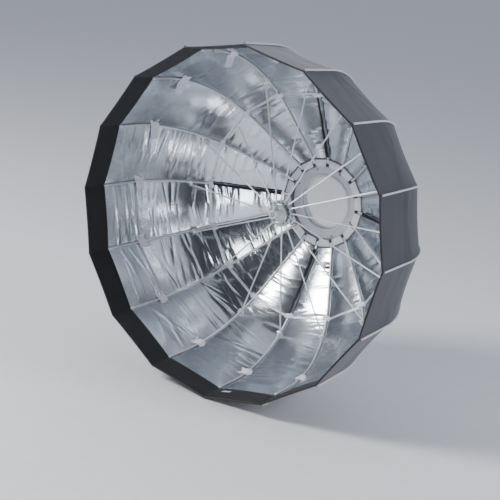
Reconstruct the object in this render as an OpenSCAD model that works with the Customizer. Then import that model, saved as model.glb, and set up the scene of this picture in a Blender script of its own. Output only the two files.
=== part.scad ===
// Deep umbrella-frame reflector with sixteen hinged ribs, a sliding strut hub and a speed ring.
// Built standing on its speed ring with the mouth up, then laid over so that the mouth faces -Y.

/* [Speed ring] */
// Outer radius of the ring's hinge blocks
ring_r = 128.5; // [124:0.5:130]
// Front face of the ring, measured from its rear mounting face
ring_front = 34; // [32:1:38]
// Radius of the opening that the lamp looks through
bore_r = 72; // [68:0.5:74]
// Radius of the circle that the rib hinge pins sit on
pivot_r = 118; // [116:0.5:119]
// Height of the rib hinge pins above the rear mounting face
pivot_z = 28; // [27:0.5:28]
// Width of each slot that a rib swings in
slot_w = 7; // [6.8:0.1:9]
// Radius of the rib hinge pins
pin_r = 1.5; // [1.2:0.1:1.6]

/* [Ribs] */
// Radius of the rib rod
rod_r = 2.5; // [2:0.1:2.8]
// Angle of the straight root of a rib above the ring's plane
root_angle = 28.3; // [26:0.1:31]
// Radius at which the straight root ends and the bow begins
bow_start_r = 279; // [270:1:290]
// Radius of the bow
bow_r = 326; // [315:1:335]
// Angle of the rib above the ring's plane at the rim
rim_angle = 87; // [84:0.5:89]
// Straight length at the rim, past the bow
tail_len = 65; // [55:1:75]
// Angle of the rib at the strut joint
joint_angle = 46.7; // [44:0.1:50]
// Distance of the strut joint inside the rod's centre line
joint_inset = 9; // [8:0.5:11]

/* [Hub and struts] */
// Height of the strut hinge circle above the rear mounting face
hub_z = 250; // [244:1:256]
// Radius of the strut hinge circle
hub_pivot_r = 31; // [30:0.5:32]
// Radius of the hub's slotted disc
hub_disc_r = 36; // [35.5:0.5:38]
// Radius of a strut
strut_r = 2; // [1.6:0.1:2]
// Sideways distance between a strut and its rib
strut_offset = 6; // [6:0.1:6.5]
// Radius of the hub's front cup
cup_r = 27; // [25:0.5:28]

/* [Cover] */
// Thickness that stands for the lining and the shell together
cloth_t = 2.5; // [2:0.1:3]
// Gap between the rod's centre line and the lining
cloth_gap = 5; // [4.8:0.1:5.5]
// Depth of the unlined lip past the rib tips
lip_len = 73; // [60:1:75]
// Radius at which the cover starts, just outside the ring
cover_start_r = 133; // [132.5:0.5:140]

/* [Pull ring] */
// Radius of the pull ring's wire circle
pull_r = 10.2; // [9:0.2:11]
// Length of the link between its two end arcs
link_len = 13; // [12:0.5:16]

/* [Hidden] */
ribs = 16;
pitch = 360 / ribs;
half = pitch / 2;
$fn = 48;
pin_play = 0.05;
joint_gap = 0.3;

// Rib centre line, as radius and height
bow_start_z = pivot_z + (bow_start_r - pivot_r) * tan(root_angle);
bow_c = [bow_start_r - bow_r * sin(root_angle), bow_start_z + bow_r * cos(root_angle)];
root_len = (bow_start_r - pivot_r) / cos(root_angle);
function bow_point(a, d = 0) = bow_c + (bow_r + d) * [sin(a), -cos(a)];
function along(p, a, l) = p + l * [cos(a), sin(a)];
rib_tip = along(bow_point(rim_angle), rim_angle, tail_len);
joint_p = bow_point(joint_angle, -joint_inset);

// Strut, from the hub pivot to the rib joint
hub_p = [hub_pivot_r, hub_z];
strut_len = norm(joint_p - hub_p);
strut_angle = atan2(joint_p[1] - hub_p[1], joint_p[0] - hub_p[0]);

// Speed ring steps
ring_rear = 4;
web_r = 104;
web_top = 16;
slot_floor = 14;
seat_r = 88;
insert_flange_r = 98;
edge = 1.5;
cover_in_r = 76;
cover_top = 22;
cover_lip_r = 82;
cover_lip_top = 27;
screw_circle_r = 97;
screw_count = 8;
screw_r = 1.5;
screw_head_r = 2.8;

// Bayonet claws on the rear of the insert
claw_count = 3;
claw_span = 34;
claw_drop = 9;
claw_lip = 3.5;
claw_t = 2.6;

// Rib fittings
knuckle_r = 5;
knuckle_half = 3;
bracket_half = 3;
bracket_len = 16;
cap_r = 3.8;
cap_len = 9;
ferrule_len = 10;
side_step = 0.4;
end_turn = 0.2;

// Strut fittings
eye_r = 3.6;
eye_half = 2.15;
strut_pin_r = 1.2;
strut_pin_half = 4.3;
strut_slot_w = 4.9;
strut_slot_in = 26.5;

// Hub steps, measured from the strut hinge plane
disc_half = 5.5;
neck_r = 19;
neck_top = 8.5;
cup_top = 18;
cup_wall = 4;
cup_floor = 14.5;
back_top = -8;
back_bottom = -10;
back_r = 24;
hub_screw_r = 2;

// Staple and link
staple_x = -12;
staple_y = 19.5;
staple_half = 3.5;
staple_z = 24;
staple_r = 0.9;
link_wire_r = 0.7;
link_arc_r = 2.3;
pull_wire_r = 1.1;

function nn(prefix, i) = str(prefix, i < 10 ? "0" : "", i);

// ---------- helpers ----------

// Lays the standing model over, so that its axis points to -Y
module aim() {
    rotate([90, 0, 0]) children();
}

// Turns a shape drawn for the rib at angle 0 to rib i
module at_rib(i) {
    rotate([0, 0, (i - 1) * pitch]) children();
}

// Ring turned from an outline of radius and height
module turned(outline, span = 360) {
    rotate_extrude(angle = span, $fn = 160) polygon(outline);
}

// Round bar from point p in the rib plane, at angle a, of length l
module bar(p, a, l, r) {
    translate([p[0], 0, p[1]]) rotate([0, 90 - a, 0]) cylinder(h = l, r = r);
}

// Pin or eye across the rib plane, centred on point p and shifted sideways by t
module cross_pin(p, r, half_len, t = 0) {
    translate([p[0], t, p[1]]) rotate([90, 0, 0]) cylinder(h = 2 * half_len, r = r, center = true);
}

// Block in the rib plane at angle a, from l0 to l1 along it and d0 to d1 across it
module slab(p, a, l0, l1, d0, d1, half_w) {
    translate([p[0], 0, p[1]]) rotate([0, -a, 0])
        translate([l0, -half_w, d0]) cube([l1 - l0, 2 * half_w, d1 - d0]);
}

// ---------- speed ring ----------

module speed_ring() {
    hinge_hole_half = slot_w / 2 + 9;
    color("gainsboro") aim() difference() {
        turned([
            [seat_r, ring_rear], [ring_r - edge, ring_rear], [ring_r, ring_rear + edge],
            [ring_r, ring_front - edge], [ring_r - edge, ring_front], [web_r + edge, ring_front],
            [web_r, ring_front - edge], [web_r, web_top], [seat_r, web_top]
        ]);
        for (i = [1:ribs]) at_rib(i) {
            translate([web_r + 3, -slot_w / 2, slot_floor]) cube([40, slot_w, 40]);
            cross_pin([pivot_r, pivot_z], pin_r + pin_play, hinge_hole_half);
        }
        for (k = [0:screw_count - 1]) rotate([0, 0, (k + 0.5) * 360 / screw_count])
            translate([screw_circle_r, 0, 0]) cylinder(h = 60, r = screw_r + pin_play);
    }
}

// One bayonet claw, a hooked strip that stands behind the insert
module claw() {
    claw_in = bore_r + 1;
    claw_out = claw_in + claw_t;
    rotate([0, 0, -claw_span / 2]) turned([
        [claw_in, 2], [claw_in, -claw_drop], [claw_out + claw_lip, -claw_drop],
        [claw_out + claw_lip, claw_t - claw_drop], [claw_out, claw_t - claw_drop], [claw_out, 2]
    ], claw_span);
}

module mount_insert() {
    color("silver") aim() union() {
        turned([
            [bore_r, 0], [insert_flange_r, 0], [insert_flange_r, ring_rear], [seat_r - 0.3, ring_rear],
            [seat_r - 0.3, web_top], [bore_r, web_top]
        ]);
        for (k = [0:claw_count - 1]) rotate([0, 0, 90 + k * 360 / claw_count]) claw();
    }
}

module ring_cover() {
    cover_out = web_r - 0.3;
    color("whitesmoke") aim() difference() {
        turned([
            [cover_in_r, web_top], [cover_out, web_top], [cover_out, cover_top - 1], [cover_out - 1, cover_top],
            [cover_lip_r, cover_top], [cover_lip_r, cover_lip_top - 1], [cover_lip_r - 1, cover_lip_top],
            [cover_in_r + 1, cover_lip_top], [cover_in_r, cover_lip_top - 1]
        ]);
        for (k = [0:screw_count - 1]) rotate([0, 0, (k + 0.5) * 360 / screw_count])
            translate([screw_circle_r, 0, 0]) cylinder(h = 60, r = screw_r + pin_play);
    }
}

module ring_screws() {
    socket_r = 1.4;
    color("dimgray") aim() for (k = [0:screw_count - 1]) rotate([0, 0, (k + 0.5) * 360 / screw_count])
        translate([screw_circle_r, 0, 0]) difference() {
            union() {
                translate([0, 0, ring_rear + 1]) cylinder(h = cover_top - ring_rear - 1, r = screw_r);
                translate([0, 0, cover_top]) cylinder(h = 2.2, r = screw_head_r);
            }
            translate([0, 0, cover_top + 0.9]) cylinder(h = 3, r = socket_r, $fn = 6);
        }
}

module rib_hinge_pins() {
    color("dimgray") aim() for (i = [1:ribs]) at_rib(i)
        cross_pin([pivot_r, pivot_z], pin_r, slot_w / 2 + 8);
}

// ---------- ribs ----------

// Ferrule that joins a straight and the bow, whose ends stop short of each other inside it
module ferrule(p, a) {
    bar(along(p, a, -ferrule_len / 2), a, ferrule_len, rod_r + 0.5);
}

module rib(i) {
    p = [pivot_r, pivot_z];
    color("silver") aim() at_rib(i) difference() {
        union() {
            cross_pin(p, knuckle_r, knuckle_half);
            slab(p, root_angle, 0, 16, -knuckle_r + 1, knuckle_r - 1, knuckle_half - side_step);
            bar(along(p, root_angle, 8), root_angle, root_len - 9, rod_r);
            translate([bow_c[0], 0, bow_c[1]]) rotate([90, 0, 0]) rotate([0, 0, root_angle - 90 + end_turn])
                rotate_extrude(angle = rim_angle - root_angle - 2 * end_turn, $fn = 360)
                    translate([bow_r, 0]) circle(r = rod_r, $fn = 48);
            bar(along(bow_point(rim_angle), rim_angle, 1), rim_angle, tail_len - 2, rod_r);
            ferrule(bow_point(root_angle), root_angle);
            ferrule(bow_point(rim_angle), rim_angle);
            bar(along(rib_tip, rim_angle, -cap_len), rim_angle, cap_len, cap_r);
            slab(bow_point(joint_angle), joint_angle, -bracket_len / 2, bracket_len / 2, -3.6, 6,
                bracket_half - side_step);
            cross_pin(joint_p, eye_r + 0.4, bracket_half);
        }
        cross_pin(p, pin_r + pin_play, knuckle_half + 1);
        cross_pin(joint_p, strut_pin_r + pin_play, bracket_half + 1);
    }
}

// ---------- struts ----------

module strut(i) {
    stub_end = bracket_half + joint_gap;
    stub_half = (strut_offset - stub_end) / 2;
    color("lightgray") aim() at_rib(i) difference() {
        union() {
            translate([0, strut_offset, 0]) bar(hub_p, strut_angle, strut_len, strut_r);
            cross_pin(hub_p, eye_r, eye_half, strut_offset);
            cross_pin(joint_p, eye_r, eye_half, strut_offset);
            cross_pin(joint_p, strut_pin_r, stub_half, stub_end + stub_half);
        }
        cross_pin(hub_p, strut_pin_r + pin_play, eye_half + 1, strut_offset);
    }
}

module strut_pins() {
    color("dimgray") aim() for (i = [1:ribs]) at_rib(i)
        cross_pin(hub_p, strut_pin_r, strut_pin_half, strut_offset);
}

// ---------- hub ----------

module hub_body() {
    color("gray") aim() translate([0, 0, hub_z]) difference() {
        union() {
            translate([0, 0, -disc_half]) cylinder(h = 2 * disc_half, r = hub_disc_r, $fn = 96);
            translate([0, 0, back_top]) cylinder(h = -back_top, r = neck_r);
            cylinder(h = neck_top, r = neck_r);
        }
        for (i = [1:ribs]) at_rib(i) {
            translate([strut_slot_in, strut_offset - strut_slot_w / 2, -10]) cube([30, strut_slot_w, 20]);
            cross_pin([hub_pivot_r, 0], strut_pin_r + pin_play, strut_pin_half + 0.2, strut_offset);
        }
        translate([0, 0, -20]) cylinder(h = 40, r = hub_screw_r + pin_play);
    }
}

module hub_back_plate() {
    color("darkgray") aim() translate([0, 0, hub_z + back_bottom]) difference() {
        cylinder(h = back_top - back_bottom, r = back_r);
        translate([0, 0, -1]) cylinder(h = 10, r = hub_screw_r + pin_play);
    }
}

module staple() {
    for (s = [-1, 1]) translate([staple_x + s * staple_half, staple_y, cup_floor - 2])
        cylinder(h = staple_z - cup_floor + 2, r = staple_r);
    translate([staple_x - staple_half, staple_y, staple_z]) rotate([0, 90, 0])
        cylinder(h = 2 * staple_half, r = staple_r);
    for (s = [-1, 1]) translate([staple_x + s * staple_half, staple_y, staple_z]) sphere(r = staple_r);
}

module hub_cup() {
    color("lightslategray") aim() translate([0, 0, hub_z]) union() {
        difference() {
            translate([0, 0, neck_top]) cylinder(h = cup_top - neck_top, r = cup_r, $fn = 96);
            translate([0, 0, cup_floor]) cylinder(h = 10, r = cup_r - cup_wall, $fn = 96);
            translate([0, 0, 0]) cylinder(h = 13, r = hub_screw_r + pin_play);
        }
        staple();
    }
}

module hub_screw() {
    color("dimgray") aim() translate([0, 0, hub_z]) {
        translate([0, 0, back_bottom]) cylinder(h = 12 - back_bottom, r = hub_screw_r);
        translate([0, 0, back_bottom - 0.7]) cylinder(h = 0.7, r = 5);
    }
}

// Wire link, a stadium in the plane across the staple bar
module pull_link() {
    top_y = staple_y;
    low_y = staple_y - link_len;
    color("silver") aim() translate([staple_x, 0, hub_z + staple_z]) {
        for (s = [-1, 1]) translate([0, low_y, s * link_arc_r]) rotate([-90, 0, 0])
            cylinder(h = link_len, r = link_wire_r, $fn = 24);
        translate([0, top_y, 0]) rotate([0, 90, 0]) rotate([0, 0, 0])
            rotate_extrude(angle = 180, $fn = 64) translate([link_arc_r, 0]) circle(r = link_wire_r, $fn = 24);
        translate([0, low_y, 0]) rotate([0, 90, 0]) rotate([0, 0, 180])
            rotate_extrude(angle = 180, $fn = 64) translate([link_arc_r, 0]) circle(r = link_wire_r, $fn = 24);
    }
}

module pull_ring() {
    color("white") aim() translate([staple_x, staple_y - link_len - pull_r, hub_z + staple_z])
        rotate_extrude($fn = 96) translate([pull_r, 0]) circle(r = pull_wire_r, $fn = 32);
}

// ---------- cover ----------

bow_steps = 12;
bow_angles = [for (k = [0:bow_steps]) root_angle + (rim_angle - root_angle) * k / bow_steps];
lip_end = along(rib_tip, rim_angle, lip_len);
root_unit = [cos(root_angle), sin(root_angle)];
root_normal = [sin(root_angle), -cos(root_angle)];
rim_normal = [sin(rim_angle), -cos(rim_angle)];

// Line at distance d outside the rib, from the ring to the lip
function cover_start(d) = let (q = [pivot_r, pivot_z] + d * root_normal)
    q + root_unit * (cover_start_r - q[0]) / root_unit[0];
function cover_line(d) = concat(
    [cover_start(d)],
    [for (a = bow_angles) bow_point(a, d)],
    [lip_end + d * rim_normal]
);
function backwards(v) = [for (k = [len(v) - 1:-1:0]) v[k]];
function narrowed(v) = [for (p = v) [p[0] * cos(half), p[1]]];

// One flat-drawn side of a gore, from the rib to the middle of the gore
module cover_side(s) {
    seam_gap = 0.3;
    far = 700;
    outline = narrowed(concat(cover_line(cloth_gap), backwards(cover_line(cloth_gap + cloth_t))));
    wedge = [
        [seam_gap / sin(half), 0],
        [far, 0],
        [far * cos(half) + seam_gap * sin(half), far * sin(half) - seam_gap * cos(half)]
    ];
    mirror([0, s < 0 ? 1 : 0, 0]) intersection() {
        rotate([0, 0, half]) rotate([90, 0, 0])
            linear_extrude(height = 240, center = true) polygon(outline);
        linear_extrude(height = 700) polygon(wedge);
    }
}

module canopy(i) {
    color("#26262e") aim() at_rib(i) union() {
        cover_side(1);
        cover_side(-1);
    }
}

// ---------- nodes ----------

speed_ring();
mount_insert();
ring_cover();
ring_screws();
rib_hinge_pins();
hub_body();
hub_back_plate();
hub_cup();
hub_screw();
strut_pins();
pull_link();
pull_ring();
for (i = [1:ribs]) rib(i);
for (i = [1:ribs]) strut(i);
for (i = [1:ribs]) canopy(i);
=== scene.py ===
"""Deep umbrella reflector: the finished look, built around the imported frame.

The mouth faces -Y and the lamp side faces +Y. The origin is the centre of the lamp opening, on the
speed ring's rear face. Lengths are in metres. A place on the cover is given by s, the distance along a
rib from its hinge pin, and by the offset from the rod's centre line, which is positive outwards, away
from the light.
"""

import logging
import math
from dataclasses import dataclass, field
from enum import Enum
from typing import Optional, Sequence

import bmesh
import bpy
import numpy as np
from mathutils import Matrix, Vector

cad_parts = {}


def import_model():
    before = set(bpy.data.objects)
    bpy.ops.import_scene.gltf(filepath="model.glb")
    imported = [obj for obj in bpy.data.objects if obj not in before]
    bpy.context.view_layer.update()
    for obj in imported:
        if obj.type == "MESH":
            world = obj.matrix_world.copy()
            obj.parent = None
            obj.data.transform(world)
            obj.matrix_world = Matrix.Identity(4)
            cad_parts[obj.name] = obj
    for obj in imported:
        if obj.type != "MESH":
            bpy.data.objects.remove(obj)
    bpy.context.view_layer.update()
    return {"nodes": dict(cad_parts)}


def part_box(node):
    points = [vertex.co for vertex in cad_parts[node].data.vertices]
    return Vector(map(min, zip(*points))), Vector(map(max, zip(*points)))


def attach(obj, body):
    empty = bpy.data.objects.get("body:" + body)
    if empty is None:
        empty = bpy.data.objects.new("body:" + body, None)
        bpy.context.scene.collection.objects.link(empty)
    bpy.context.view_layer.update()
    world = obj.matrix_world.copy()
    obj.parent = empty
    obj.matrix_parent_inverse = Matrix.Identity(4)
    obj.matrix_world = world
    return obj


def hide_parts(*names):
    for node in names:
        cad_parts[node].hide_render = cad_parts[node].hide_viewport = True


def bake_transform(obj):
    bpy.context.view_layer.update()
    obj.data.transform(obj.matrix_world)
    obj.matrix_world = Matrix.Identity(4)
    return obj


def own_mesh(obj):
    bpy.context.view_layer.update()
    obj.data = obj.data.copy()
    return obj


LOG = logging.getLogger("reflector")

RIBS = 16
PITCH = math.tau / RIBS
HALF = PITCH / 2

Color = tuple[float, float, float]


def rib_name(prefix: str, number: int) -> str:
    """Name of a numbered node or body, such as rib_07."""
    return f"{prefix}{number:02d}"


def rib_angle(number: int) -> float:
    """Angle of a rib about the axis, in radians."""
    return (number - 1) * PITCH


def to_row(radial: np.ndarray, tangential: np.ndarray, height: np.ndarray, angle: float) -> np.ndarray:
    """Turns places in a rib's or a gore's own plane into the frame's coordinates.

    Args:
        radial: Distances from the axis, along the plane.
        tangential: Distances to the side of the plane.
        height: Distances in front of the ring's rear face.
        angle: Angle of the plane about the axis, in radians.

    Returns:
        An array with one more axis, of x, y and z.
    """
    radial, tangential, height = np.broadcast_arrays(radial, tangential, height)
    c, s = math.cos(angle), math.sin(angle)
    return np.stack([radial * c - tangential * s, -height, radial * s + tangential * c], axis=-1)


def unit(vectors: np.ndarray) -> np.ndarray:
    """Vectors of length one along the last axis."""
    return vectors / np.maximum(np.linalg.norm(vectors, axis=-1, keepdims=True), 1e-12)


# ---------------------------------------------------------------- finishes


class NodeBoard:
    """A material's node tree, with short calls for the nodes that the finishes use."""

    def __init__(self, name: str) -> None:
        """Starts a material with one Principled shader."""
        self.material = bpy.data.materials.new(name)
        self.material.use_nodes = True
        self.tree = self.material.node_tree
        self.shader = self.tree.nodes["Principled BSDF"]

    def node(self, kind: str, **settings: object) -> bpy.types.Node:
        """Adds a node, with its properties or its input values.

        Args:
            kind: The node's type.
            **settings: A property's name, or an input's name with underscores for spaces.

        Returns:
            The new node.
        """
        made = self.tree.nodes.new(kind)
        for key, value in settings.items():
            socket = key.replace("_", " ").title()
            if hasattr(made, key):
                setattr(made, key, value)
            else:
                made.inputs[socket].default_value = value
        return made

    def link(self, source: bpy.types.NodeSocket, target: bpy.types.NodeSocket) -> None:
        """Joins two sockets."""
        self.tree.links.new(source, target)

    def coordinates(self, kind: str, scale: Sequence[float] = (1, 1, 1)) -> bpy.types.NodeSocket:
        """Object or UV coordinates, scaled.

        Args:
            kind: "Object" or "UV".
            scale: Scale along each axis.

        Returns:
            The socket that holds them.
        """
        source = self.node("ShaderNodeTexCoord")
        mapping = self.node("ShaderNodeMapping")
        mapping.inputs["Scale"].default_value = scale
        self.link(source.outputs[kind], mapping.inputs["Vector"])
        return mapping.outputs["Vector"]

    def noise(self, where: bpy.types.NodeSocket, scale: float, detail: float = 4.0) -> bpy.types.NodeSocket:
        """Noise from 0 to 1 at a scale in features per metre."""
        made = self.node("ShaderNodeTexNoise")
        made.inputs["Scale"].default_value = scale
        made.inputs["Detail"].default_value = detail
        self.link(where, made.inputs["Vector"])
        return made.outputs["Fac"]

    def bands(self, where: bpy.types.NodeSocket, pitch: float, along: str) -> bpy.types.NodeSocket:
        """Even bands of a pitch in metres, counted along X, Y or Z."""
        made = self.node("ShaderNodeTexWave", wave_type="BANDS", bands_direction=along)
        made.inputs["Scale"].default_value = math.pi / (10 * pitch)
        self.link(where, made.inputs["Vector"])
        return made.outputs["Fac"]

    def blend(self, share: bpy.types.NodeSocket, low: Color, high: Color) -> bpy.types.NodeSocket:
        """A colour between two, by a share."""
        ramp = self.node("ShaderNodeValToRGB")
        ramp.color_ramp.elements[0].color = (*low, 1)
        ramp.color_ramp.elements[1].color = (*high, 1)
        ramp.color_ramp.elements[0].position = 0.3
        ramp.color_ramp.elements[1].position = 0.7
        self.link(share, ramp.inputs["Fac"])
        return ramp.outputs["Color"]

    def span(self, value: bpy.types.NodeSocket, low: float, high: float) -> bpy.types.NodeSocket:
        """A value from 0.25 to 0.75 stretched over low to high."""
        made = self.node("ShaderNodeMapRange")
        made.inputs["From Min"].default_value = 0.25
        made.inputs["From Max"].default_value = 0.75
        made.inputs["To Min"].default_value = low
        made.inputs["To Max"].default_value = high
        self.link(value, made.inputs["Value"])
        return made.outputs["Result"]

    def times(self, a: bpy.types.NodeSocket, b: bpy.types.NodeSocket) -> bpy.types.NodeSocket:
        """The product of two values."""
        made = self.node("ShaderNodeMath", operation="MULTIPLY")
        self.link(a, made.inputs[0])
        self.link(b, made.inputs[1])
        return made.outputs["Value"]

    def bump(self, height: bpy.types.NodeSocket, depth: float,
             under: Optional[bpy.types.Node] = None) -> bpy.types.Node:
        """Adds relief to the shader.

        Args:
            height: The relief's height, from 0 to 1.
            depth: What a height of 1 stands for, in metres.
            under: A bump node that this one is laid over.

        Returns:
            The bump node.
        """
        made = self.node("ShaderNodeBump")
        made.inputs["Distance"].default_value = depth
        made.inputs["Strength"].default_value = 1.0
        self.link(height, made.inputs["Height"])
        if under is not None:
            self.link(under.outputs["Normal"], made.inputs["Normal"])
        self.link(made.outputs["Normal"], self.shader.inputs["Normal"])
        return made


@dataclass(frozen=True)
class MetalFinish:
    """Bare or painted metal, with fine grain and patches that are duller."""

    name: str
    light: Color
    dark: Color
    metallic: float
    smooth: float
    rough: float
    patch_scale: float = 60.0
    grain_scale: float = 1500.0
    grain_depth: float = 0.00002
    stretch: tuple[float, float, float] = (1, 1, 1)
    coat: float = 0.0

    def make(self) -> bpy.types.Material:
        """Builds the material."""
        board = NodeBoard(self.name)
        where = board.coordinates("Object", self.stretch)
        patches = board.noise(where, self.patch_scale)
        grain = board.noise(where, self.grain_scale, 2.0)
        board.shader.inputs["Metallic"].default_value = self.metallic
        board.shader.inputs["Coat Weight"].default_value = self.coat
        board.link(board.blend(patches, self.dark, self.light), board.shader.inputs["Base Color"])
        board.link(board.span(patches, self.rough, self.smooth), board.shader.inputs["Roughness"])
        board.bump(grain, self.grain_depth)
        return board.material


@dataclass(frozen=True)
class TurnedFinish:
    """Metal turned on a lathe, with rings about the Y axis."""

    name: str
    light: Color
    dark: Color
    smooth: float
    rough: float
    groove_pitch: float = 0.0009
    groove_depth: float = 0.00003

    def make(self) -> bpy.types.Material:
        """Builds the material."""
        board = NodeBoard(self.name)
        where = board.coordinates("Object")
        rings = board.node("ShaderNodeTexWave", wave_type="RINGS", rings_direction="Y")
        rings.inputs["Scale"].default_value = math.pi / (10 * self.groove_pitch)
        rings.inputs["Distortion"].default_value = 1.2
        board.link(where, rings.inputs["Vector"])
        patches = board.noise(where, 45.0)
        board.shader.inputs["Metallic"].default_value = 1.0
        board.link(board.blend(patches, self.dark, self.light), board.shader.inputs["Base Color"])
        board.link(board.span(patches, self.rough, self.smooth), board.shader.inputs["Roughness"])
        board.bump(rings.outputs["Fac"], self.groove_depth)
        return board.material


@dataclass(frozen=True)
class MouldedFinish:
    """Moulded plastic or powder paint with a fine skin."""

    name: str
    light: Color
    dark: Color
    smooth: float
    rough: float
    skin_scale: float = 900.0
    skin_depth: float = 0.00004

    def make(self) -> bpy.types.Material:
        """Builds the material."""
        board = NodeBoard(self.name)
        where = board.coordinates("Object")
        patches = board.noise(where, 35.0)
        skin = board.noise(where, self.skin_scale, 3.0)
        board.link(board.blend(patches, self.dark, self.light), board.shader.inputs["Base Color"])
        board.link(board.span(patches, self.smooth, self.rough), board.shader.inputs["Roughness"])
        board.bump(skin, self.skin_depth)
        return board.material


@dataclass(frozen=True)
class ClothFinish:
    """Woven cloth. The weave follows the UV map, which is in metres."""

    name: str
    light: Color
    dark: Color
    smooth: float
    rough: float
    thread: float
    weave_depth: float
    sheen: float = 0.0
    metallic: float = 0.0
    crease_scale: float = 0.0
    crease_depth: float = 0.0
    patch_scale: float = 14.0

    def make(self) -> bpy.types.Material:
        """Builds the material."""
        board = NodeBoard(self.name)
        flat = board.coordinates("UV")
        where = board.coordinates("Object")
        patches = board.noise(where, self.patch_scale, 6.0)
        weave = board.times(board.bands(flat, self.thread, "X"), board.bands(flat, self.thread, "Y"))
        board.shader.inputs["Metallic"].default_value = self.metallic
        board.shader.inputs["Sheen Weight"].default_value = self.sheen
        board.shader.inputs["Sheen Roughness"].default_value = 0.4
        board.link(board.blend(patches, self.dark, self.light), board.shader.inputs["Base Color"])
        board.link(board.span(patches, self.smooth, self.rough), board.shader.inputs["Roughness"])
        relief = board.bump(weave, self.weave_depth)
        if self.crease_depth:
            ridged = board.node("ShaderNodeTexNoise", noise_type="RIDGED_MULTIFRACTAL")
            ridged.inputs["Scale"].default_value = self.crease_scale
            ridged.inputs["Detail"].default_value = 3.0
            board.link(where, ridged.inputs["Vector"])
            board.bump(ridged.outputs["Fac"], self.crease_depth, relief)
        return board.material


LINING = ClothFinish("silver_lining", (0.66, 0.69, 0.73), (0.63, 0.66, 0.70), 0.16, 0.20, 0.0011, 0.000015,
                     metallic=1.0, crease_scale=40.0, crease_depth=0.0003)
SHELL = ClothFinish("black_nylon", (0.030, 0.029, 0.042), (0.018, 0.018, 0.026), 0.42, 0.56, 0.0008, 0.00005,
                    sheen=0.25, crease_scale=16.0, crease_depth=0.0006)
LIP_CLOTH = ClothFinish("lip_nylon", (0.010, 0.010, 0.013), (0.006, 0.006, 0.008), 0.55, 0.7, 0.0008, 0.00005,
                        sheen=0.05)
PIPING = ClothFinish("grey_piping", (0.72, 0.72, 0.76), (0.60, 0.60, 0.64), 0.38, 0.55, 0.0010, 0.00008,
                     sheen=0.2)
WEBBING = ClothFinish("white_webbing", (0.88, 0.87, 0.97), (0.76, 0.75, 0.88), 0.55, 0.75, 0.0013, 0.00018,
                      sheen=0.3, patch_scale=90.0)
TAPE = ClothFinish("black_tape", (0.014, 0.014, 0.017), (0.008, 0.008, 0.010), 0.6, 0.8, 0.0011, 0.00015)
ELASTIC = ClothFinish("neck_elastic", (0.020, 0.020, 0.023), (0.011, 0.011, 0.013), 0.6, 0.8, 0.0016, 0.00025)
RIB_STEEL = MetalFinish("drawn_steel", (0.90, 0.91, 0.93), (0.80, 0.81, 0.84), 0.7, 0.26, 0.38,
                        patch_scale=25.0, grain_scale=900.0)
# The ring's dark grey is partly its own paint and partly painted shade: it is darkened so the web, steps and
# slots between the pads read as the shade that falls there.
RING_PAINT_AND_SHADE = MetalFinish("ring_paint", (0.22, 0.23, 0.26), (0.17, 0.18, 0.21), 0.3, 0.34, 0.5, coat=0.2,
                         grain_depth=0.00003)
# The pads' near-white is partly their own paint and partly painted light: they are made paler so the block
# tops read as lit against the ring's painted shade.
PAD_PAINT_AND_HIGHLIGHT = MetalFinish("pad_paint_and_highlight", (0.90, 0.91, 0.94), (0.80, 0.81, 0.85), 0.1, 0.30, 0.45, coat=0.3,
                        grain_depth=0.00003)
INSERT = TurnedFinish("turned_insert", (0.62, 0.63, 0.66), (0.52, 0.53, 0.56), 0.28, 0.42)
COVER_PLASTIC = MouldedFinish("pale_plastic", (0.78, 0.78, 0.82), (0.68, 0.68, 0.73), 0.35, 0.5)
SCREW_STEEL = MetalFinish("screw_steel", (0.42, 0.42, 0.44), (0.28, 0.28, 0.30), 1.0, 0.3, 0.5)
HUB_METAL = TurnedFinish("hub_metal", (0.50, 0.54, 0.56), (0.38, 0.42, 0.44), 0.26, 0.44)
BRIGHT_WIRE = MetalFinish("bright_wire", (0.97, 0.97, 0.98), (0.92, 0.92, 0.94), 0.15, 0.2, 0.3)
FLOOR = MouldedFinish("pale_floor", (0.84, 0.84, 0.85), (0.81, 0.81, 0.82), 0.6, 0.75, skin_scale=60.0,
                      skin_depth=0.0002)


class Wardrobe:
    """Every finish, made once and kept by name."""

    def __init__(self) -> None:
        """Starts with no material made."""
        self.made: dict[str, bpy.types.Material] = {}

    def get(self, finish: object) -> bpy.types.Material:
        """The material of a finish."""
        if finish.name not in self.made:
            self.made[finish.name] = finish.make()
        return self.made[finish.name]


# ---------------------------------------------------------------- mesh building


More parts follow.
